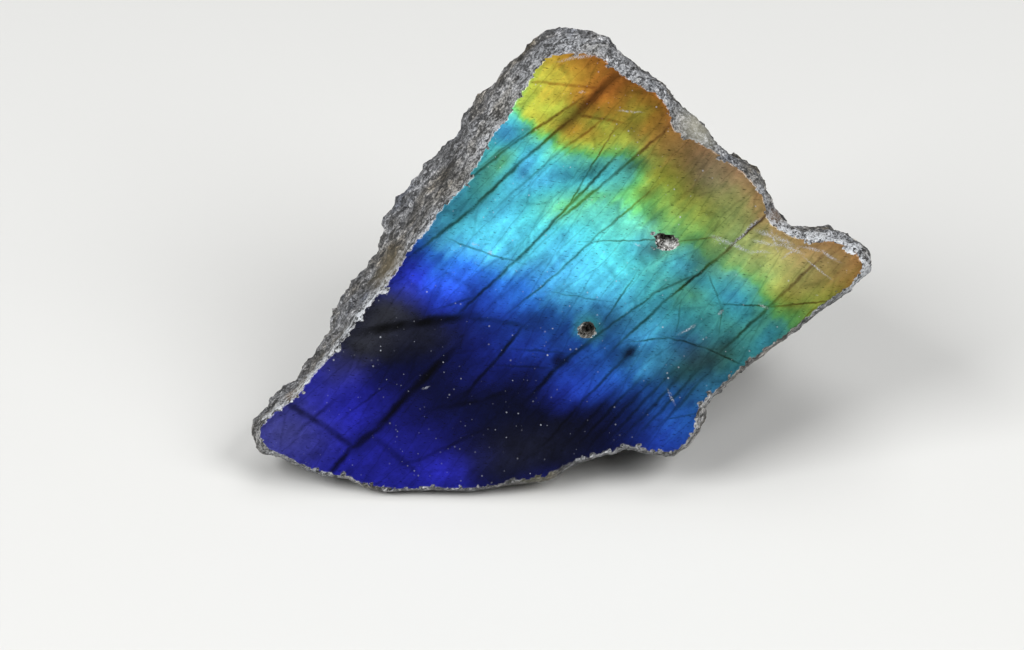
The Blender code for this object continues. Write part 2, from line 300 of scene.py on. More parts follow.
def from_the_edge(place):
    """How far each point of the polish is from the face's edge, and far for any other point."""
    on_face = place[:, 2] > -0.001
    rim = place[~on_face & (place[:, 2] > -RIM_DEPTH)]
    tree = KDTree(len(rim))
    for index, point in enumerate(rim):
        tree.insert((point[0], point[1], 0.0), index)
    tree.balance()
    distance = np.full(len(place), np.inf)
    for index in np.nonzero(on_face)[0]:
        distance[index] = tree.find((place[index, 0], place[index, 1], 0.0))[2]
    distance[near_a_pit(place)] *= PIT_EDGE_TIGHTER
    return distance


def nick_the_edge(stone):
    """Little chips out of the edge of the polished face, as the saw and the lap leave it."""
    cut_finer(stone, from_the_edge(to_face(points_of(stone))) < FINE_EDGE, 1)
    place = to_face(points_of(stone))
    distance = from_the_edge(place)
    for index in np.nonzero(distance < NICK_REACH)[0]:
        u, v = place[index, :2]
        chipped = noise.fractal(Vector((u, v, 0.0)) / NICK_SIZE, *NICK_NOISE) - NICK_STARTS_AT
        depth = NICK_DEPTH * (chipped - distance[index] / NICK_REACH)
        place[index, 2] = -max(depth, 0.0)
    keep_in_box(stone, to_world(place))


def flatten_the_wide_pit(stone):
    """Presses one pit's outline down, and its surroundings less and less with the distance."""
    place = to_face(points_of(stone))
    distance = np.linalg.norm(place[:, :2] - WIDE_PIT, axis=1)
    share = WIDE_PIT_FLATTER * (1.0 - level(distance, (PIT_REACH, 2.0 * PIT_REACH)))
    share[place[:, 2] < -PIT_DEPTH] = 0.0
    place[:, 1] += share * (WIDE_PIT_BOTTOM_V - place[:, 1])
    keep_in_box(stone, to_world(place))


def crumble_the_pits(stone):
    """Crumbs of broken rock inside the pits, none of them as high as the polish."""
    place = to_face(points_of(stone))
    inside = near_a_pit(place) & (place[:, 2] < PIT_CRUMBS_BELOW)
    for index in np.nonzero(inside & (place[:, 2] > -PIT_DEPTH))[0]:
        crumb = noise.fractal(Vector(place[index]) / PIT_CRUMB_SIZE, *CRUMB_NOISE)
        place[index, 2] = min(place[index, 2] + PIT_CRUMB_HEIGHT * crumb, PIT_CRUMBS_BELOW)
    keep_in_box(stone, to_world(place))


def model_stone():
    stone = recut_stone()
    cut_rim_finer(stone)
    break_surface(stone)
    true_the_face(stone)
    place = to_face(points_of(stone))
    cut_finer(stone, near_a_pit(place) & (place[:, 2] > -PIT_DEPTH), PIT_CUTS)
    nick_the_edge(stone)
    flatten_the_wide_pit(stone)
    crumble_the_pits(stone)
    select_only(stone)
    bpy.ops.object.shade_smooth_by_angle(angle=math.radians(SMOOTH_BELOW_DEG))
    return stone


# ---------------------------------------------------------------- what the polished face shows

LAMELLA_SIZE = (7.0, 0.9, 2.0)  # mm along the cleavage, across it and into the stone
SLIP_ALONG_CLEAVAGE = 0.4  # mm that the bands are drawn out along the lamellae
BAND_WANDER = (3.0, 0.8)  # size of the noise that moves the bands, and how far, in mm
CRACK_WANDER = (1.1, 0.22)  # the same for the cracks
CRACK_STREAKS_FROM_TO = (0.35, 0.6)  # the lamellae's noise level, from which to which
CRACK_STRENGTH_FROM_TO = (0.55, 1.15)  # the strength along a crack wanders this much
CRACK_TURNS_COLOUR = 0.10  # how far a crack turns the band beside it
PIECE_OVERLAP = 1.1  # half a crack piece's oval, as a share of the piece's length
PIECE_FULL_AT = 0.95  # how far in from its rim a piece has its full strength
NOISE_FROM_TO = (0.3, 0.7)  # nearly all of a noise's values lie between these
STREAKS_SHADE = (0.90, 1.10)  # how far the lamellae darken and brighten the painted schiller sheen and the stone's colour
CLOUDS_SHADE = (0.82, 1.18)  # and the clouds in it
CLOUD_SIZE = 1.7  # mm
HAIRLINE_CELL = (7.0, 1.5, 7.0)  # mm along the cleavage, across it and into the stone
HAIRLINE_WIDTH = 0.05  # as a share of the cell
HAIRLINE_STRENGTH = 0.11
PINPRICK_SIZE = (0.48, 0.14, 0.3)
PINPRICK_TURN_DEG = -8.0
PINPRICK_FROM_TO = (0.60, 0.74)  # the noise level at which a pinprick starts and is full
PINPRICK_STRENGTH = 0.40
DUST_COLOUR = "#b4b8c2"
DUST_SIZE = 0.075  # mm from a speck's middle to its rim; dust too fine to show is left out
DUST_SIZES = (0.45, 1.35)  # smallest and largest speck, as a share of that
DUST_SPACING = 0.48  # mm from speck to speck
DUST_BARE = 0.25  # the share of places with no speck
DUST_STRENGTH = 0.75
DUST_CLUSTER_SIZE = (3.0, 1.6, 2.0)
CRUMB_SIZE = (0.16, 0.10, 0.12)
CLUMPS_FROM_TO = (0.42, 0.60)  # the noise level at which a crumb or cluster starts and is full
EYE_TO_LIGHT = 2.2  # brightness as the eye reads it, to linear light
FACE_SPAN = 100.0  # longer than anything on the stone

# The schiller's bands, painted as the colour of its sheen seen from the front: violet blue at 0,
# orange at 1
SCHILLER_COLOURS = [
    (0.00, "#3b3cff"),
    (0.20, "#334eff"),
    (0.30, "#3369ff"),
    (0.40, "#388bff"),
    (0.50, "#59c8ff"),
    (0.60, "#66f2ff"),
    (0.70, "#80ffdf"),
    (0.74, "#8cff9f"),
    (0.78, "#aaff80"),
    (0.85, "#f2ff61"),
    (0.92, "#ffc847"),
    (1.00, "#ffa040"),
]
COLOUR_TURN_DEG = 52.0  # the way over the face that the bands follow each other
COLOUR_TURN_PER_MM = 0.0317
COLOUR_AT_MIDDLE = 0.52
COLOUR_STREAKS = 0.015  # how far the lamellae shift the bands, either way

# Soft oval spots: middle u and v, half width and half height in mm, turn in degrees, and amount.
# Where the bands bend
COLOUR_SHIFTS = [
    (-12.6, 4.6, 6.5, 5.0, 30, 0.15),
    (-15.6, 1.6, 3.4, 2.6, 30, -0.10),
    (-7.5, 3.0, 5.0, 3.5, 0, 0.10),
    (-3.5, 6.5, 5.0, 2.6, 20, 0.09),
    (-3.6, 9.2, 6.0, 2.6, 5, -0.14),
    (-7.8, 13.0, 3.4, 2.4, -30, -0.20),
    (-5.9, 14.2, 2.6, 1.4, -35, 0.04),
    (-9.0, 9.3, 4.4, 1.7, 45, 0.13),
    (1.6, 9.6, 4.4, 2.3, 15, -0.14),
    (-5.8, 10.8, 3.6, 1.4, 38, -0.12),
    (-6.8, 15.0, 4.0, 3.2, 20, 0.02),
    (-2.6, 12.9, 5.0, 1.8, -18, 0.11),
    (-0.6, 15.6, 4.4, 2.8, 20, 0.08),
    (3.4, 14.8, 3.0, 2.0, 0, -0.06),
    (3.4, 3.2, 2.4, 2.0, 0, -0.08),
    (6.9, 1.9, 2.6, 1.8, 20, -0.14),
    (8.3, 0.4, 1.8, 1.4, 0, -0.12),
    (11.2, -0.8, 4.4, 2.4, -45, -0.17),
    (14.2, -4.4, 2.6, 1.4, 40, -0.12),
    (7.4, -0.6, 3.4, 1.5, 42, 0.07),
    (-3.2, -0.8, 5.0, 2.6, 10, 0.06),
    (-1.0, -3.5, 1.9, 1.9, 0, 0.20),
    (4.0, -6.8, 4.0, 2.6, 20, 0.05),
    (10.0, -5.8, 2.6, 1.8, 0, 0.08),
    (7.4, -4.6, 2.4, 1.6, 0, -0.07),
    (15.4, -0.8, 3.0, 2.0, 30, 0.06),
    (11.6, 5.0, 4.0, 2.6, -20, -0.03),
    (-4.8, 15.6, 3.0, 2.2, 30, 0.05),
    (11.0, 7.6, 4.4, 3.0, -40, -0.05),
    (4.6, 5.4, 1.6, 1.2, 0, -0.02),
    (20.0, 2.4, 3.4, 2.4, 0, -0.04),
    (7.4, -7.0, 2.8, 1.5, 10, 0.11),
]

# Painted sheen: where the schiller is painted bright, to the eye, as it shows from the front, and
# where it goes out
PAINTED_SHEEN_EVERYWHERE = 0.455
PAINTED_SHEEN_FLASHES = [
    (-5.0, 4.0, 20.0, 14.0, 10, 0.32),
    (-5.5, 16.0, 8.0, 6.0, 20, 0.27),
    (-5.4, 10.2, 6.0, 3.0, 40, 0.16),
    (-8.0, 5.5, 7.0, 4.5, 40, 0.14),
    (0.0, 1.6, 8.0, 6.0, 20, 0.20),
    (2.0, -1.2, 3.0, 1.8, 30, 0.04),
    (-12.6, -1.0, 2.6, 1.6, 30, 0.10),
    (-8.2, -4.6, 2.4, 1.4, 30, 0.12),
    (-3.0, 17.6, 4.0, 2.4, 0, 0.08),
    (2.6, 7.0, 3.6, 2.2, 40, 0.12),
    (6.8, 2.0, 2.6, 1.8, 20, 0.10),
    (-10.4, -8.0, 4.4, 2.0, 10, 0.10),
    (4.4, -3.6, 3.2, 1.8, 30, 0.14),
    (-11.3, 2.0, 6.0, 5.0, 40, 0.14),
    (-14.4, 0.2, 5.0, 3.6, 30, 0.14),
    (12.5, 0.4, 7.0, 4.0, 30, 0.15),
    (8.6, 6.4, 5.0, 2.6, -30, 0.08),
    (-22.0, -10.0, 9.0, 6.0, 20, 0.12),
    (-13.0, -15.4, 3.2, 2.4, 10, 0.20),
    (-8.2, -16.0, 4.0, 2.4, 10, -0.16),
    (-25.6, -11.4, 4.0, 5.0, 48, -0.12),
    (-22.6, -7.8, 3.0, 2.0, 48, -0.10),
    (-1.8, -8.4, 6.0, 3.4, 30, 0.28),
    (-2.6, -9.4, 3.4, 2.2, 30, 0.10),
    (-5.6, -5.6, 3.4, 2.0, 10, 0.14),
    (3.4, -6.2, 5.4, 3.2, 20, 0.18),
    (-0.6, -6.8, 2.4, 1.8, 20, -0.12),
    (6.4, -11.8, 6.0, 4.0, 20, 0.18),
    (4.6, -12.9, 2.0, 1.6, 20, 0.10),
    (0.8, 15.3, 1.6, 1.2, 0, 0.10),
    (1.7, 12.0, 1.8, 1.3, 40, 0.09),
    (-0.4, 8.7, 2.4, 1.2, 20, 0.10),
    (3.3, 5.4, 1.8, 1.6, 40, 0.08),
    (-5.8, -1.2, 2.0, 1.4, 20, 0.09),
    (11.2, 7.4, 3.6, 2.4, -40, 0.07),
    (1.0, -8.7, 2.6, 1.6, 20, 0.11),
    (3.4, -7.0, 1.8, 1.3, 0, 0.09),
    (-13.2, -2.0, 2.2, 1.4, 0, 0.12),
]
PAINTED_SHEEN_DIM_PLACES = [
    (-11.2, 7.0, 9.0, 2.2, 48, -0.16),
    (-15.8, 2.2, 4.0, 2.0, 48, -0.16),
    (-2.4, 13.8, 3.6, 1.2, 44, -0.20),
    (-6.2, 6.8, 3.4, 2.2, 30, -0.12),
    (0.6, -3.4, 3.0, 1.6, 20, -0.14),
    (-19.8, -13.0, 2.2, 1.6, 40, -0.16),
    (7.0, -9.6, 2.6, 1.6, 30, -0.10),
    (-9.8, 0.6, 2.4, 1.4, 45, -0.12),
    (-8.0, 7.4, 5.0, 2.0, 48, -0.10),
    (8.6, 8.8, 7.0, 4.2, -45, -0.22),
    (-1.4, 9.6, 3.4, 0.9, 8, -0.16),
    (-17.5, -3.6, 11.0, 4.2, 5, -0.52),
    (-18.6, -1.4, 3.6, 2.2, 30, -0.18),
    (-16.0, -6.5, 9.0, 6.0, 0, -0.20),
    (-8.0, -10.0, 14.0, 7.0, -5, -0.345),
    (-3.0, -13.5, 13.0, 6.0, 10, -0.32),
    (-5.0, -3.1, 9.0, 2.6, 8, -0.20),
    (2.0, -6.0, 3.0, 2.4, 0, -0.16),
    (9.2, -6.2, 5.0, 2.6, 15, -0.13),
    (-4.3, -5.2, 3.2, 1.4, 0, -0.10),
    (7.4, -6.2, 6.0, 3.4, 15, -0.12),
    (8.2, 2.2, 4.0, 2.4, 42, -0.12),
    (2.9, 10.0, 2.2, 1.0, 25, -0.15),
    (4.0, 7.9, 1.8, 1.0, 30, -0.22),
    (4.6, 5.9, 1.2, 1.0, 0, -0.13),
    (4.2, 2.9, 2.0, 1.2, 25, -0.28),
    (-3.3, 13.7, 1.8, 1.3, 40, -0.11),
    (-5.8, 12.1, 2.0, 1.3, 40, -0.10),
    (-13.3, 2.1, 2.4, 1.8, 40, -0.14),
    (-10.8, -1.2, 2.2, 1.4, 40, -0.11),
    (-8.4, -5.0, 2.4, 1.8, 30, -0.11),
    (-18.3, -7.9, 2.6, 1.8, 20, -0.10),
    (-18.3, -11.4, 2.4, 1.8, 30, -0.09),
    (-25.0, -9.4, 2.2, 1.6, 48, -0.10),
    (1.7, -6.2, 1.8, 1.6, 0, -0.10),
    (4.2, 10.4, 1.6, 1.4, 0, -0.08),
    (6.8, 7.2, 2.0, 1.6, 0, -0.08),
    (-10.4, 7.0, 3.0, 1.2, 30, -0.10),
    (2.5, -5.5, 1.1, 0.8, 20, -0.34),
    (-3.3, -6.4, 1.1, 0.9, 20, -0.26),
    (6.4, -7.4, 1.5, 1.1, 10, -0.06),
    (10.7, -4.9, 1.1, 0.9, 40, -0.06),
]

# The stone's own dark body colour, by band
BODY_COLOURS = [
    (0.30, "#04071f"),
    (0.55, "#050e20"),
    (0.75, "#0c140c"),
    (1.00, "#180f06"),
]

# Milky places under the polish
HAZE_COLOUR = "#9a9c8e"
HAZES = [
    (11.0, 9.2, 9.0, 5.0, -48, 0.24),
    (16.0, 2.8, 9.0, 5.0, -10, 0.22),
    (8.0, 4.0, 9.0, 6.0, 0, 0.04),
    (13.3, 1.9, 6.0, 3.4, -20, 0.14),
    (3.7, 11.2, 4.0, 3.0, 0, 0.06),
    (5.0, 4.4, 3.6, 3.0, 0, 0.10),
    (8.6, -5.6, 5.0, 3.4, 20, 0.03),
    (20.0, 2.4, 4.0, 2.6, 0, 0.04),
    (-17.2, -1.6, 4.0, 2.4, 20, 0.05),
    (-16.0, -4.0, 7.0, 3.0, 5, 0.022),
    (-20.5, -5.6, 7.0, 3.2, 48, 0.05),
    (-27.0, -12.4, 7.0, 5.0, 0, 0.09),
    (-7.0, -14.0, 8.0, 3.6, 10, 0.015),
]

# Healed cracks: half width and path of each, in mm
CRACKS_OPEN = [
    (0.55, [(-12.7, -5.9), (-15.8, -8.9), (-18.5, -11.9)]),
    (0.45, [(-18.1, -11.7), (-20.8, -13.7), (-22.5, -15.7)]),
    (0.62, [(-19.4, -3.9), (-15.6, -3.2), (-11.4, -2.6)]),
]
CRACKS_DEEP = [
    (0.25, [(-2.3, 13.9), (-6.2, 10.6), (-10.5, 6.5), (-14.6, 3.3)]),
    (0.22, [(1.0, 10.4), (-2.1, 7.1), (-7.1, 1.9), (-11.1, -1.7)]),
    (0.22, [(14.1, 6.1), (10.0, 2.5), (5.8, -1.0), (2.1, -4.4)]),
    (0.27, [(-6.9, -4.0), (-8.6, -6.2), (-11.0, -8.9)]),
    (0.32, [(-0.7, -4.6), (-3.3, -6.6), (-5.7, -9.2)]),
]
CRACKS_CLEAR = [
    (0.48, [(-26.0, -10.0), (-22.9, -11.8), (-20.8, -13.4)]),
    (0.59, [(1.3, 17.4), (-2.2, 14.0)]),
    (0.20, [(-2.5, 14.9), (-7.3, 11.7), (-10.8, 8.9)]),
    (0.13, [(0.8, 12.3), (-1.0, 9.4), (-2.8, 6.2)]),
    (0.22, [(5.2, 12.7), (0.6, 8.7), (-3.7, 5.2)]),
    (0.16, [(3.3, 7.1), (-0.4, 4.0), (-3.3, 1.2), (-6.9, -1.7)]),
    (0.18, [(7.7, 0.8), (4.6, -0.6), (1.2, -3.1), (-3.0, -6.2)]),
    (0.22, [(17.9, 1.9), (14.1, -1.7), (10.4, -5.2)]),
    (0.20, [(1.7, -6.4), (-1.7, -10.0), (-4.0, -12.6)]),
    (0.14, [(2.5, 0.2), (0.6, -2.7)]),
    (0.13, [(-11.9, 3.6), (-9.2, 2.6), (-7.1, 2.0)]),
    (0.14, [(3.3, -4.6), (5.8, -4.3), (8.7, -5.1), (11.5, -6.4)]),
    (0.13, [(10.4, -1.6), (15.0, -1.7), (18.7, -1.3)]),
    (0.11, [(-0.2, 3.7), (4.6, 3.8)]),
]
CRACKS_FAINT = [
    (0.36, [(-11.6, -2.6), (-8.8, -2.9), (-6.4, -3.4)]),
    (0.23, [(-5.7, 17.0), (-0.8, 16.5)]),
    (0.22, [(-2.0, 14.2), (1.2, 13.7)]),
    (0.18, [(0.0, 13.6), (-3.3, 11.2), (-7.7, 7.3)]),
    (0.18, [(-6.7, 12.4), (-9.5, 10.2)]),
    (0.18, [(-13.1, -1.8), (-10.6, -1.0)]),
    (0.11, [(-3.7, -0.6), (0.0, -1.2)]),
    (0.12, [(9.3, 0.4), (10.2, -1.9), (10.0, -3.7)]),
    (0.11, [(6.7, -1.7), (6.4, -3.9)]),
    (0.14, [(17.8, -1.9), (16.5, -3.2)]),
    (0.18, [(-6.5, -5.3), (-3.2, -5.6)]),
    (0.18, [(-7.9, -6.7), (-4.2, -6.9)]),
    (0.36, [(-13.3, -10.2), (-9.8, -9.6), (-7.5, -8.7)]),
    (0.54, [(-18.3, -13.1), (-15.4, -15.6)]),
    (0.27, [(-10.8, -12.6), (-15.0, -14.6)]),
    (0.16, [(-18.1, -8.6), (-20.8, -10.6)]),
    (0.14, [(5.6, -11.1), (8.5, -10.6)]),
    (0.13, [(6.8, 3.7), (9.6, 4.0)]),
    (0.27, [(-22.5, -9.9), (-25.0, -12.1)]),
]

# How dark each kind is
CRACKS = [
    (0.64, CRACKS_OPEN),
    (0.58, CRACKS_DEEP),
    (0.44, CRACKS_CLEAR),
    (0.28, CRACKS_FAINT),
]

# A row of fine cracks, all alike: the first one's start, each one's run, and the step to the next
FINE_ROW_START = (-2.0, -12.4)
FINE_ROW_RUN = (3.4, 3.7)
FINE_ROW_STEP = (1.2, 0.15)
FINE_ROW_COUNT = 7
FINE_ROW_WIDTH = 0.24
FINE_ROW_STRENGTH = 0.36

# Crushed lines and crumbs on the polish: half width and path
CRUSHED_STRENGTH = 0.75
CRUSHED_LINES = [
    (0.26, [(9.6, 4.0), (11.0, 3.5), (12.3, 2.9)]),
    (0.17, [(12.6, 2.9), (13.8, 2.8)]),
    (0.20, [(11.3, 3.6), (12.3, 4.7), (13.1, 5.4)]),
    (0.14, [(17.3, 2.1), (18.8, 0.9)]),
    (0.14, [(15.4, 2.4), (16.4, 3.1)]),
    (0.20, [(-10.6, 3.5), (-10.3, 3.4)]),
    (0.24, [(-9.3, 2.8), (-9.0, 2.7)]),
    (0.15, [(6.9, -3.9), (7.8, -3.4)]),
    (0.17, [(9.9, -2.3), (10.2, -2.1)]),
    (0.17, [(13.4, -1.6), (13.9, -1.8)]),
    (0.15, [(-14.7, -8.6), (-14.3, -8.5)]),
    (0.17, [(2.9, 3.5), (3.3, 3.4)]),
    (0.15, [(5.8, -8.9), (6.2, -9.7)]),
    (0.22, [(-2.8, 18.8), (-0.6, 19.2), (1.0, 18.8), (2.3, 17.7)]),
    (0.14, [(1.9, 14.5), (3.2, 14.4)]),
    (0.14, [(-1.7, 16.1), (-1.3, 16.1)]),
    (0.30, [(13.3, 4.5), (14.5, 4.1), (15.8, 3.5)]),
    (0.24, [(13.1, 3.7), (14.3, 3.4), (15.3, 3.4), (16.6, 2.8)]),
    (0.18, [(14.3, 4.4), (14.7, 3.2)]),
    (0.20, [(17.0, 3.2), (18.4, 2.9), (19.6, 2.2)]),
]


# ---------------------------------------------------------------- what the broken rock shows

# Sizes are in mm along the cleavage, across it and into the stone
CRYSTAL_SIZE = (0.20, 0.16, 0.18)  # drawn no finer than shows in a view of the whole stone
LEDGE_SIZE = (1.6, 0.28, 0.28)
LEDGE_SHARE = 0.25  # how much of the tone is the ledges'
FACET_SIZE = (0.6, 0.32, 0.36)  # the little crystal faces, each painted paler or darker: painted glints and shade where a face catches the light, mixed with the crystals' own tones
FACET_WANDER = (0.4, 0.12)  # size of the noise and how far it moves their edges, in mm
FACET_GLINT_TONES = (0.30, 0.70)
FACET_GLINT_SHARE = 0.32
# Painted shade and light: random darker and paler patches that stand in for the shading of the
# rock's relief
PATCH_SIZE = (3.0, 1.6, 2.0)
PATCH_FROM_TO = (0.34, 0.66)  # the noise level of the darkest and the palest patch
PAINTED_RELIEF_SHADE = (0.45, 1.25)
WEATHERED_SIZE = (9.0, 5.0, 6.0)

# From brown, where weathered, to cold grey, where fresh
WEATHERED_TINTS = [
    (0.37, "#b3a488"),
    (0.45, "#e4ddd0"),
    (0.52, "#f2f1f0"),
    (0.60, "#ffffff"),
    (0.66, "#b8bcc6"),
]

# The salt-and-pepper tones of the crystals
ROCK_COLOURS = [
    (0.40, "#1e1e1f"),
    (0.46, "#444547"),
    (0.52, "#6e6f72"),
    (0.58, "#a0a1a4"),
    (0.65, "#e6e7ea"),
]
# Pale crumbs and painted shade in the pits: the darkest tones are painted shade in their deep parts
PIT_COLOURS_AND_SHADE = [
    (0.20, "#14120f"),
    (0.40, "#2c2823"),
    (0.48, "#4e4b45"),
    (0.56, "#8c8b87"),
    (0.66, "#e0e0de"),
]

# What lies in the pits: crumbs where it is above nought, and a dark hole of painted shade where it
# is below
PIT_CRUMBS_AND_SHADE = [
    (5.9, 3.3, 1.5, 0.6, -8, 0.20),
    (5.5, 4.4, 0.9, 0.8, -10, -0.24),
    (6.3, 4.3, 0.6, 0.7, 0, 0.10),
    (-1.0, -3.5, 1.5, 1.5, 0, 0.02),
    (-0.9, -3.5, 0.8, 0.7, 30, -0.25),
]
PIT_SHOWS_AT = 0.3  # how far in from the reach of a pit its colours are full
BRUISE_DEPTH = 1.9  # how deep behind the face the saw bruised the rock, in mm
BRUISE_FULL_AT = 0.1  # and how near to the face it did so fully
BRUISE_TONES = (0.44, 0.56)  # only the paler crystals turn white
BRUISE_COLOUR = "#cfd3d8"

# Where the edge is shattered white, and where it's hardly bruised
BRUISED_EVERYWHERE = 0.35
BRUISES = [
    (-20.2, -2.6, 6.0, 3.0, 48, 0.80),
    (-25.6, -8.6, 6.0, 3.0, 48, 0.60),
    (-14.0, 5.0, 4.0, 2.6, 48, 0.20),
    (20.6, 1.6, 4.6, 4.6, 0, 0.80),
    (16.6, 4.6, 6.0, 2.4, 0, 0.60),
    (15.4, -4.2, 9.0, 2.4, 40, -0.40),
    (10.4, 9.6, 9.0, 3.0, -48, -0.30),
    (-8.0, -16.6, 18.0, 3.6, 5, -0.45),
]

# Stains on the broken rock: a colour and its spots
STAIN_DEPTH = 6.0  # mm behind the face
STAINS = [
    ("#6d6248", [(-18.0, 1.4, 3.2, 2.0, 48, 0.7), (-25.0, -8.6, 1.6, 1.2, 48, 0.5)]),
    (
        "#80664c",
        [
            (14.6, 5.8, 1.6, 1.0, 10, 0.5),
            (-2.0, 18.9, 3.4, 0.8, 0, 0.5),
            (-26.0, -9.2, 1.0, 0.8, 0, 0.4),
        ],
    ),
    ("#a5a290", [(8.2, 13.2, 3.0, 1.9, -48, 0.65)]),
    ("#5c5a3c", [(-5.4, -15.8, 2.6, 1.4, 10, 0.6)]),
]
FELDSPAR_IOR = 1.56
POLISHED_ROUGHNESS = 0.14
BROKEN_ROUGHNESS = 0.62
POLISH_FROM_TO = (-0.05, -0.02)  # mm out of the face at which the polish starts and is full
GRAIN_BUMP_SIZE = 0.22  # mm
GRAIN_BUMP_HEIGHT = 0.12


# ---------------------------------------------------------------- materials


def add(tree, kind, inputs=None, stops=(), **settings):
    """Adds a node. Inputs given as sockets are linked, and others are set on the node.

    The stops are those of a colour ramp, each a position and a colour.
    """
    node = tree.nodes.new(kind)
    for name, value in settings.items():
        setattr(node, name, value)
    for index, (position, colour) in enumerate(stops):
        if index == len(node.color_ramp.elements):
            node.color_ramp.elements.new(position)
        node.color_ramp.elements[index].position = position
        node.color_ramp.elements[index].color = linear(colour)
    for key, value in (inputs or {}).items():
        if isinstance(value, bpy.types.NodeSocket):
            tree.links.new(value, node.inputs[key])
        else:
            node.inputs[key].default_value = value
    return node


def oval(tree, place, middle, half_size, turn_deg, half_depth=FACE_SPAN):
    """1 in the middle of an oval, on the face, and 0 outside it."""
    inside = add(
        tree,
        "ShaderNodeMapping",
        {
            "Vector": place,
            "Location": (*middle, 0.0),
            "Rotation": (0.0, 0.0, math.radians(turn_deg)),
            "Scale": (*half_size, half_depth),
        },
        vector_type="TEXTURE",
    ).outputs[0]
    return add(
        tree, "ShaderNodeTexGradient", {"Vector": inside}, gradient_type="SPHERICAL"
    ).outputs["Fac"]


def soft_spots(tree, place, spots, start, half_depth=FACE_SPAN):
    """Adds up soft oval spots of a value over the face, down to a depth behind it."""
    total = start
    for u, v, half_width, half_height, turn_deg, amount in spots:
        half_size = (half_width, half_height)
        middle = oval(tree, place, (u, v), half_size, turn_deg, half_depth)
        soft = add(
            tree,
            "ShaderNodeMapRange",
            {"Value": middle, "To Max": amount},
            interpolation_type="SMOOTHSTEP",
        ).outputs[0]
        total = add(tree, "ShaderNodeMath", {0: soft, 1: total}, operation="ADD").outputs[0]
    return total


def lines(tree, place, strength, drawn):
    """Broken lines, all of one strength, each fading towards its sides."""
    nearest = 0.0
    for half_width, path in drawn:
        for start, end in zip(path, path[1:]):
            run = Vector(end) - Vector(start)
            middle = (Vector(start) + Vector(end)) / 2
            turn_deg = math.degrees(math.atan2(run.y, run.x))
            half_size = (run.length * PIECE_OVERLAP, half_width)
            inside = oval(tree, place, middle, half_size, turn_deg)
            nearest = add(
                tree, "ShaderNodeMath", {0: inside, 1: nearest}, operation="MAXIMUM"
            ).outputs[0]
    return add(
        tree,
        "ShaderNodeMapRange",
        {"Value": nearest, "From Max": PIECE_FULL_AT, "To Max": strength},
        interpolation_type="SMOOTHSTEP",
    ).outputs[0]


def all_cracks(tree, place, streaks):
    """The strongest crack at each place, stronger and weaker along its length."""
    strongest = 0.0
    for strength, drawn in CRACKS + [(FINE_ROW_STRENGTH, fine_row())]:
        strongest = add(
            tree,
            "ShaderNodeMath",
            {0: lines(tree, place, strength, drawn), 1: strongest},
            operation="MAXIMUM",
        ).outputs[0]
    lowest, highest = CRACK_STREAKS_FROM_TO
    weakest, fullest = CRACK_STRENGTH_FROM_TO
    healed = add(
        tree,
        "ShaderNodeMapRange",
        {
            "Value": streaks,
            "From Min": lowest,
            "From Max": highest,
            "To Min": weakest,
            "To Max": fullest,
        },
    ).outputs[0]
    return add(
        tree, "ShaderNodeMath", {0: strongest, 1: healed}, operation="MULTIPLY"
    ).outputs[0]


def fine_row():
    """The row of fine cracks, as lines."""
    row = []
    for index in range(FINE_ROW_COUNT):
        start = Vector(FINE_ROW_START) + Vector(FINE_ROW_STEP) * index
        row.append((FINE_ROW_WIDTH, [start, start + Vector(FINE_ROW_RUN)]))
    return row


def moved_by_noise(tree, place, size_and_reach):
    """A place moved aside by noise of a given size, in mm."""
    size, reach = size_and_reach
    wander = add(
        tree,
        "ShaderNodeTexNoise",
        {"Vector": place, "Scale": 1.0 / size, "Detail": 4.0, "Roughness": 0.6},
    ).outputs["Color"]
    centred = add(
        tree, "ShaderNodeVectorMath", {0: wander, 1: (0.5, 0.5, 0.5)}, operation="SUBTRACT"
    ).outputs[0]
    return add(
        tree,
        "ShaderNodeVectorMath",
        {0: centred, 1: (2.0 * reach, 2.0 * reach, 0.0), 2: place},
        operation="MULTIPLY_ADD",
    ).outputs[0]


def lamellae(tree, place):
    """Streaks that run along the cleavage, from 0 to 1."""
    along = add(
        tree,
        "ShaderNodeMapping",
        {
            "Vector": place,
            "Rotation": (0.0, 0.0, math.radians(CLEAVAGE_DEG)),
            "Scale": LAMELLA_SIZE,
        },
        vector_type="TEXTURE",
    ).outputs[0]
    return add(
        tree, "ShaderNodeTexNoise", {"Vector": along, "Scale": 1.0, "Detail": 5.0, "Roughness": 0.62}
    ).outputs["Fac"]


def drawn_out(tree, place, streaks):
    """A place slipped along the cleavage, by a different length on each streak."""
    cleavage = math.radians(CLEAVAGE_DEG)
    centred = add(tree, "ShaderNodeMath", {0: streaks, 1: 0.5}, operation="SUBTRACT").outputs[0]
    reach = SLIP_ALONG_CLEAVAGE * 2.0
    slip = add(
        tree,
        "ShaderNodeVectorMath",
        {0: (math.cos(cleavage) * reach, math.sin(cleavage) * reach, 0.0), 3: centred},
        operation="SCALE",
    ).outputs[0]
    return add(tree, "ShaderNodeVectorMath", {0: place, 1: slip}, operation="ADD").outputs[0]


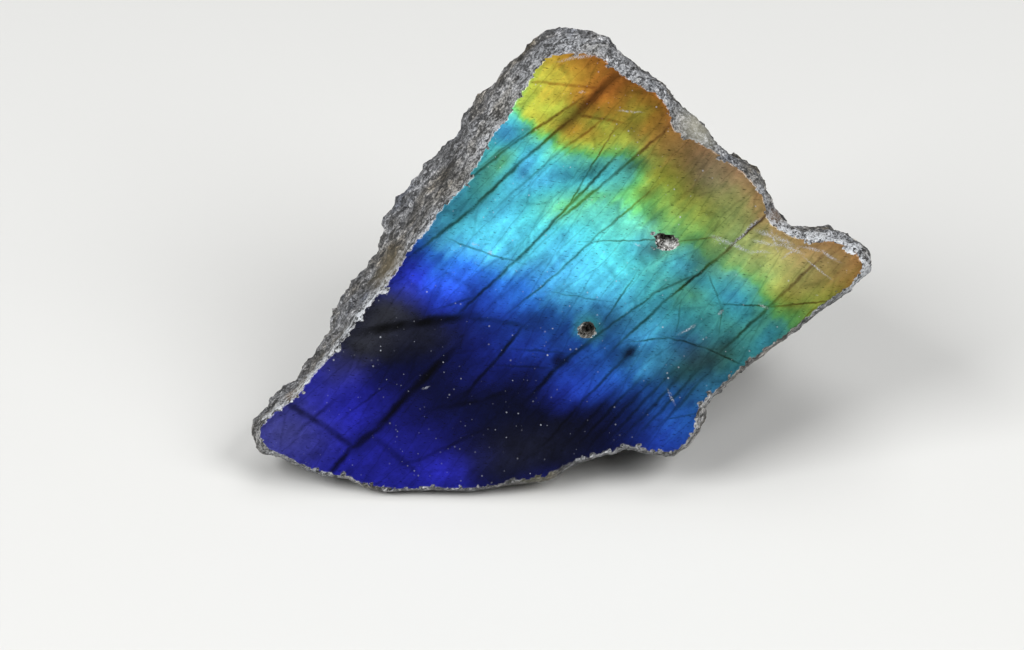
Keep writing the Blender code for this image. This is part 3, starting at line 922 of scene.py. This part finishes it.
def band_order(tree, place, streaks, cracks):
    """Which band a place lies in: 0 where the painted schiller sheen is violet blue, 1 where it's
    orange.
    """
    turn = math.radians(COLOUR_TURN_DEG)
    across_the_bands = (
        math.cos(turn) * COLOUR_TURN_PER_MM,
        math.sin(turn) * COLOUR_TURN_PER_MM,
        0.0,
    )
    steady = add(
        tree, "ShaderNodeVectorMath", {0: place, 1: across_the_bands}, operation="DOT_PRODUCT"
    ).outputs["Value"]
    order = soft_spots(tree, place, COLOUR_SHIFTS, steady)
    streaked = add(
        tree,
        "ShaderNodeMapRange",
        {
            "Value": streaks,
            "From Min": NOISE_FROM_TO[0],
            "From Max": NOISE_FROM_TO[1],
            "To Min": COLOUR_AT_MIDDLE - COLOUR_STREAKS,
            "To Max": COLOUR_AT_MIDDLE + COLOUR_STREAKS,
        },
    ).outputs[0]
    order = add(tree, "ShaderNodeMath", {0: order, 1: streaked}, operation="ADD").outputs[0]
    return add(
        tree,
        "ShaderNodeMath",
        {0: cracks, 1: CRACK_TURNS_COLOUR, 2: order},
        operation="MULTIPLY_ADD",
    ).outputs[0]


def hairlines(tree, place):
    """A faint net of hair cracks, drawn out along the cleavage."""
    along = add(
        tree,
        "ShaderNodeMapping",
        {
            "Vector": place,
            "Rotation": (0.0, 0.0, math.radians(CLEAVAGE_DEG)),
            "Scale": HAIRLINE_CELL,
        },
        vector_type="TEXTURE",
    ).outputs[0]
    net = add(
        tree,
        "ShaderNodeTexVoronoi",
        {"Vector": along, "Scale": 1.0},
        feature="DISTANCE_TO_EDGE",
    ).outputs["Distance"]
    return add(
        tree,
        "ShaderNodeMapRange",
        {"Value": net, "From Max": HAIRLINE_WIDTH, "To Min": HAIRLINE_STRENGTH, "To Max": 0.0},
        interpolation_type="SMOOTHSTEP",
    ).outputs[0]


def pinpricks(tree, place):
    """Tiny dark inclusions, drawn out into dashes."""
    along = add(
        tree,
        "ShaderNodeMapping",
        {
            "Vector": place,
            "Rotation": (0.0, 0.0, math.radians(PINPRICK_TURN_DEG)),
            "Scale": PINPRICK_SIZE,
        },
        vector_type="TEXTURE",
    ).outputs[0]
    noise_of_them = add(
        tree, "ShaderNodeTexNoise", {"Vector": along, "Scale": 1.0, "Detail": 2.0, "Roughness": 0.6}
    ).outputs["Fac"]
    return add(
        tree,
        "ShaderNodeMapRange",
        {
            "Value": noise_of_them,
            "From Min": PINPRICK_FROM_TO[0],
            "From Max": PINPRICK_FROM_TO[1],
            "To Max": PINPRICK_STRENGTH,
        },
    ).outputs[0]


def shading(tree, place, streaks, marks):
    """How much of the painted schiller sheen and the stone's colour shows past its streaks, clouds
    and dark marks.
    """
    clouds = add(
        tree,
        "ShaderNodeTexNoise",
        {"Vector": place, "Scale": 1.0 / CLOUD_SIZE, "Detail": 7.0, "Roughness": 0.75},
    ).outputs["Fac"]
    clear = 1.0
    for pattern, (darkest, brightest) in ((streaks, STREAKS_SHADE), (clouds, CLOUDS_SHADE)):
        shade = add(
            tree,
            "ShaderNodeMapRange",
            {
                "Value": pattern,
                "From Min": NOISE_FROM_TO[0],
                "From Max": NOISE_FROM_TO[1],
                "To Min": darkest,
                "To Max": brightest,
            },
        ).outputs[0]
        clear = add(tree, "ShaderNodeMath", {0: clear, 1: shade}, operation="MULTIPLY").outputs[0]
    for mark in marks:
        left = add(tree, "ShaderNodeMath", {0: 1.0, 1: mark}, operation="SUBTRACT").outputs[0]
        clear = add(tree, "ShaderNodeMath", {0: clear, 1: left}, operation="MULTIPLY").outputs[0]
    return as_light(tree, clear)


def as_light(tree, brightness):
    """Brightness as the eye reads it, as linear light."""
    above_nought = add(
        tree, "ShaderNodeMath", {0: brightness, 1: 0.0}, operation="MAXIMUM"
    ).outputs[0]
    return add(
        tree, "ShaderNodeMath", {0: above_nought, 1: EYE_TO_LIGHT}, operation="POWER"
    ).outputs[0]


def dust(tree, place):
    """Pale specks of dust, each at its own place in a cell."""
    cells = add(
        tree,
        "ShaderNodeTexVoronoi",
        {
            "Vector": moved_by_noise(tree, place, (DUST_SIZE, DUST_SIZE / 2)),
            "Scale": 1.0 / DUST_SPACING,
        },
    ).outputs
    chance = add(tree, "ShaderNodeSeparateColor", {0: cells["Color"]}).outputs
    size = add(
        tree,
        "ShaderNodeMapRange",
        {"Value": chance["Green"], "To Min": DUST_SIZES[0], "To Max": DUST_SIZES[1]},
    ).outputs[0]
    distance = add(
        tree, "ShaderNodeMath", {0: cells["Distance"], 1: size}, operation="DIVIDE"
    ).outputs[0]
    speck = add(
        tree,
        "ShaderNodeMapRange",
        {
            "Value": distance,
            "From Min": DUST_SIZE / DUST_SPACING / 2,
            "From Max": DUST_SIZE / DUST_SPACING,
            "To Min": 1.0,
            "To Max": 0.0,
        },
    ).outputs[0]
    kept = add(
        tree,
        "ShaderNodeMapRange",
        {"Value": chance["Red"], "From Min": DUST_BARE, "To Max": DUST_STRENGTH},
    ).outputs[0]
    gathered = clumps(tree, place, DUST_CLUSTER_SIZE)
    kept = add(tree, "ShaderNodeMath", {0: kept, 1: gathered}, operation="MULTIPLY").outputs[0]
    return add(tree, "ShaderNodeMath", {0: speck, 1: kept}, operation="MULTIPLY").outputs[0]


def polished_face(tree, place):
    """The colour of the polish: schiller from inside the stone, painted in as its sheen shows from
    the front, cracks, a milky haze, and dust on top.
    """
    streaks = lamellae(tree, place)
    bands = moved_by_noise(tree, drawn_out(tree, place, streaks), BAND_WANDER)
    crack_place = moved_by_noise(tree, place, CRACK_WANDER)
    cracks = all_cracks(tree, crack_place, streaks)
    marks = [cracks, hairlines(tree, crack_place), pinpricks(tree, place)]
    order = band_order(tree, bands, streaks, cracks)
    # Painted sheen: the schiller's brightness over the face, as it shows from the front
    painted_sheen = as_light(tree, soft_spots(tree, bands, PAINTED_SHEEN_FLASHES + PAINTED_SHEEN_DIM_PLACES, PAINTED_SHEEN_EVERYWHERE))
    colour = add(tree, "ShaderNodeValToRGB", {"Fac": order}, SCHILLER_COLOURS).outputs[0]
    schiller = add(
        tree, "ShaderNodeVectorMath", {0: colour, 3: painted_sheen}, operation="SCALE"
    ).outputs[0]
    haze = add(
        tree,
        "ShaderNodeVectorMath",
        {0: linear(HAZE_COLOUR)[:3], 3: soft_spots(tree, bands, HAZES, 0.0)},
        operation="SCALE",
    ).outputs[0]
    lit = add(tree, "ShaderNodeVectorMath", {0: schiller, 1: haze}, operation="ADD").outputs[0]
    depths = add(tree, "ShaderNodeValToRGB", {"Fac": order}, BODY_COLOURS).outputs[0]
    lit = add(tree, "ShaderNodeVectorMath", {0: lit, 1: depths}, operation="ADD").outputs[0]
    body = add(
        tree,
        "ShaderNodeVectorMath",
        {0: lit, 3: shading(tree, bands, streaks, marks)},
        operation="SCALE",
    ).outputs[0]
    crushed = lines(tree, crack_place, CRUSHED_STRENGTH, CRUSHED_LINES)
    crumbs = clumps(tree, place, CRUMB_SIZE)
    crushed = add(
        tree, "ShaderNodeMath", {0: crushed, 1: crumbs}, operation="MULTIPLY"
    ).outputs[0]
    pale = add(tree, "ShaderNodeMath", {0: dust(tree, place), 1: crushed}, operation="MAXIMUM")
    return add(
        tree,
        "ShaderNodeMix",
        {0: pale.outputs[0], 6: body, 7: linear(DUST_COLOUR)},
        data_type="RGBA",
    ).outputs[2]


def grains(tree, place, size, detail):
    """Noise whose lumps have the given size, in mm along the cleavage, across it and inward."""
    along = add(
        tree,
        "ShaderNodeMapping",
        {"Vector": place, "Rotation": (0.0, 0.0, math.radians(CLEAVAGE_DEG)), "Scale": size},
        vector_type="TEXTURE",
    ).outputs[0]
    return add(
        tree,
        "ShaderNodeTexNoise",
        {"Vector": along, "Scale": 1.0, "Detail": detail, "Roughness": 0.7},
    ).outputs["Fac"]


def clumps(tree, place, size):
    """Separate clumps of the given size: 1 inside them and 0 between them."""
    lowest, highest = CLUMPS_FROM_TO
    return add(
        tree,
        "ShaderNodeMapRange",
        {"Value": grains(tree, place, size, 2.0), "From Min": lowest, "From Max": highest},
    ).outputs[0]


def crystal_faces(tree, place):
    """A value for each little crystal face, the same all over it, that paints its glint and shade.
    """
    along = add(
        tree,
        "ShaderNodeMapping",
        {
            "Vector": moved_by_noise(tree, place, FACET_WANDER),
            "Rotation": (0.0, 0.0, math.radians(CLEAVAGE_DEG)),
            "Scale": FACET_SIZE,
        },
        vector_type="TEXTURE",
    ).outputs[0]
    cells = add(tree, "ShaderNodeTexVoronoi", {"Vector": along, "Scale": 1.0}).outputs["Color"]
    return add(tree, "ShaderNodeSeparateColor", {0: cells}).outputs["Red"]


def broken_rock(tree, place, height):
    """The colour of broken feldspar: fine pale and dark grains in ledges, with stains, painted shade
    and light in patches and on its crystal faces, and painted shade in its pits.
    """
    crystals = grains(tree, place, CRYSTAL_SIZE, 3.0)
    ledges = grains(tree, place, LEDGE_SIZE, 2.0)
    tone = add(tree, "ShaderNodeMix", {0: LEDGE_SHARE, 2: crystals, 3: ledges}).outputs[0]
    # Painted glints and shade: each crystal face made paler or darker
    facet_glints = add(
        tree,
        "ShaderNodeMapRange",
        {
            "Value": crystal_faces(tree, place),
            "To Min": FACET_GLINT_TONES[0],
            "To Max": FACET_GLINT_TONES[1],
        },
    ).outputs[0]
    tone = add(tree, "ShaderNodeMix", {0: FACET_GLINT_SHARE, 2: tone, 3: facet_glints}).outputs[0]
    rock_tones = add(tree, "ShaderNodeValToRGB", {"Fac": tone}, ROCK_COLOURS).outputs[0]
    # Painted shade and light: the patches darken and brighten the rock
    shade = add(
        tree,
        "ShaderNodeMapRange",
        {
            "Value": grains(tree, place, PATCH_SIZE, 2.0),
            "From Min": PATCH_FROM_TO[0],
            "From Max": PATCH_FROM_TO[1],
            "To Min": PAINTED_RELIEF_SHADE[0],
            "To Max": PAINTED_RELIEF_SHADE[1],
        },
    ).outputs[0]
    rock = add(
        tree, "ShaderNodeVectorMath", {0: rock_tones, 3: shade}, operation="SCALE"
    ).outputs[0]
    weathering = grains(tree, place, WEATHERED_SIZE, 3.0)
    weathered = add(
        tree, "ShaderNodeValToRGB", {"Fac": weathering}, WEATHERED_TINTS
    ).outputs[0]
    rock = add(
        tree, "ShaderNodeVectorMath", {0: rock, 1: weathered}, operation="MULTIPLY"
    ).outputs[0]
    for colour, spots in STAINS:
        stained = soft_spots(tree, place, spots, 0.0, STAIN_DEPTH)
        rock = add(
            tree, "ShaderNodeMix", {0: stained, 6: rock, 7: linear(colour)}, data_type="RGBA"
        ).outputs[2]
    near_the_edge = add(
        tree,
        "ShaderNodeMapRange",
        {"Value": height, "From Min": -BRUISE_DEPTH, "From Max": -BRUISE_FULL_AT},
    ).outputs[0]
    crushed = add(
        tree,
        "ShaderNodeMapRange",
        {"Value": tone, "From Min": BRUISE_TONES[0], "From Max": BRUISE_TONES[1]},
    ).outputs[0]
    shattered = soft_spots(tree, place, BRUISES, BRUISED_EVERYWHERE)
    bruise = add(
        tree, "ShaderNodeMath", {0: near_the_edge, 1: crushed}, operation="MULTIPLY"
    ).outputs[0]
    bruise = add(
        tree, "ShaderNodeMath", {0: bruise, 1: shattered}, operation="MULTIPLY", use_clamp=True
    ).outputs[0]
    rim = add(
        tree, "ShaderNodeMix", {0: bruise, 6: rock, 7: linear(BRUISE_COLOUR)}, data_type="RGBA"
    ).outputs[2]
    # The pits: crumbs, and painted shade darkening their deep parts
    pits = [(*middle, PIT_REACH, PIT_REACH, 0.0, 1.0) for middle in PITS]
    in_a_pit = add(
        tree,
        "ShaderNodeMapRange",
        {"Value": soft_spots(tree, place, pits, 0.0, PIT_REACH * 2), "From Max": PIT_SHOWS_AT},
    ).outputs[0]
    pit_tone_and_shade = soft_spots(tree, place, PIT_CRUMBS_AND_SHADE, tone)
    crumbs = add(tree, "ShaderNodeValToRGB", {"Fac": pit_tone_and_shade}, PIT_COLOURS_AND_SHADE).outputs[0]
    return add(
        tree, "ShaderNodeMix", {0: in_a_pit, 6: rim, 7: crumbs}, data_type="RGBA"
    ).outputs[2]


def labradorite():
    """Labradorite feldspar: lapped and polished on one face, broken and weathered elsewhere.

    The polish is glassy. It shows the schiller, coloured bands lit from inside the stone, painted
    into its colour as the sheen shows from the front, cut by dark healed cracks. The broken sides
    scatter the light and look like grey, salt-and-pepper rock, palest where the saw bruised the edge
    of the face, with painted shade and light on its patches and crystal faces and painted shade in
    its pits.
    """
    material = bpy.data.materials.new("labradorite")
    material.use_nodes = True
    tree = material.node_tree
    tree.nodes.clear()
    coordinates = add(tree, "ShaderNodeTexCoord")
    place = add(
        tree,
        "ShaderNodeMapping",
        {
            "Vector": coordinates.outputs["Object"],
            "Location": FACE.translation,
            "Rotation": FACE.to_euler(),
            "Scale": (MM, MM, MM),
        },
        vector_type="TEXTURE",
    ).outputs[0]
    height = add(tree, "ShaderNodeSeparateXYZ", {0: place}).outputs["Z"]
    polished = add(
        tree,
        "ShaderNodeMapRange",
        {"Value": height, "From Min": POLISH_FROM_TO[0], "From Max": POLISH_FROM_TO[1]},
    ).outputs[0]
    polish = add(
        tree,
        "ShaderNodeBsdfPrincipled",
        {
            "Base Color": polished_face(tree, place),
            "Roughness": POLISHED_ROUGHNESS,
            "IOR": FELDSPAR_IOR,
        },
    ).outputs[0]
    grit = add(
        tree,
        "ShaderNodeTexNoise",
        {"Vector": place, "Scale": 1.0 / GRAIN_BUMP_SIZE, "Detail": 2.0, "Roughness": 0.7},
    ).outputs["Fac"]
    bump = add(
        tree, "ShaderNodeBump", {"Distance": GRAIN_BUMP_HEIGHT * MM, "Height": grit}
    ).outputs[0]
    broken = add(
        tree,
        "ShaderNodeBsdfPrincipled",
        {
            "Base Color": broken_rock(tree, place, height),
            "Roughness": BROKEN_ROUGHNESS,
            "Normal": bump,
            "IOR": FELDSPAR_IOR,
        },
    ).outputs[0]
    stone = add(tree, "ShaderNodeMixShader", {0: polished, 1: broken, 2: polish}).outputs[0]
    add(tree, "ShaderNodeOutputMaterial", {"Surface": stone})
    return material


# ---------------------------------------------------------------- floor, light and camera

FLOOR_SIZE = 1.2
FLOOR_COLOUR = "#d4d4d2"
FLOOR_ROUGHNESS = 0.9
LIGHT_DISTANCE = 0.5
# Name, azimuth and elevation in degrees, size in metres, and watts
SOFT_LIGHTS = [
    ("light left", -62.0, 42.0, 0.30, 2.1),
    ("light right", 58.0, 44.0, 0.30, 1.8),
    ("light above", 160.0, 70.0, 0.35, 0.9),
]
ROOM_LIGHT = 0.08
CAMERA_ELEVATION_DEG = 34.0
CAMERA_LENS = 151.0
CAMERA_SENSOR_WIDTH = 36.0
CAMERA_DISTANCE = 0.358
CAMERA_AIMS_AT_MM = (-7.3, -3.3, 0.0)  # the middle of the view, on the face


def floor():
    bpy.ops.mesh.primitive_plane_add(size=FLOOR_SIZE, location=(0.0, 0.0, 0.0))
    plane = bpy.context.object
    plane.name = "floor"
    material = bpy.data.materials.new("matte card")
    material.use_nodes = True
    shader = material.node_tree.nodes["Principled BSDF"]
    shader.inputs["Base Color"].default_value = linear(FLOOR_COLOUR)
    shader.inputs["Roughness"].default_value = FLOOR_ROUGHNESS
    plane.data.materials.append(material)


def towards(azimuth_deg, elevation_deg):
    """A direction out of the stone. Azimuth 0 is in front of the polished face."""
    azimuth = math.radians(azimuth_deg)
    elevation = math.radians(elevation_deg)
    return Vector(
        (
            math.sin(azimuth) * math.cos(elevation),
            -math.cos(azimuth) * math.cos(elevation),
            math.sin(elevation),
        )
    )


def soft_light(name, direction, size, watts):
    """A square soft box that looks at the stone."""
    data = bpy.data.lights.new(name, "AREA")
    data.size = size
    data.energy = watts
    lamp = bpy.data.objects.new(name, data)
    lamp.location = direction * LIGHT_DISTANCE
    lamp.rotation_euler = direction.to_track_quat("Z", "Y").to_euler()
    bpy.context.scene.collection.objects.link(lamp)


def lights():
    """Three soft boxes, none of them where the polished face would mirror it into the camera."""
    for name, azimuth_deg, elevation_deg, size, watts in SOFT_LIGHTS:
        soft_light(name, towards(azimuth_deg, elevation_deg), size, watts)
    world = bpy.data.worlds.new("world")
    world.use_nodes = True
    background = world.node_tree.nodes["Background"]
    background.inputs["Color"].default_value = (1.0, 1.0, 1.0, 1.0)
    background.inputs["Strength"].default_value = ROOM_LIGHT
    bpy.context.scene.world = world


def camera():
    data = bpy.data.cameras.new("camera")
    data.lens = CAMERA_LENS
    data.sensor_width = CAMERA_SENSOR_WIDTH
    outward = towards(0.0, CAMERA_ELEVATION_DEG)
    eye = bpy.data.objects.new("camera", data)
    eye.location = FACE @ Vector(CAMERA_AIMS_AT_MM) + outward * CAMERA_DISTANCE
    eye.rotation_euler = outward.to_track_quat("Z", "Y").to_euler()
    bpy.context.scene.collection.objects.link(eye)
    bpy.context.scene.camera = eye


# ---------------------------------------------------------------- the scene

stone = model_stone()
stone.data.materials.append(labradorite())
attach(stone, "root")
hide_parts("labradorite_chunk")
floor()
lights()
camera()
bpy.context.scene.view_settings.view_transform = "Standard"
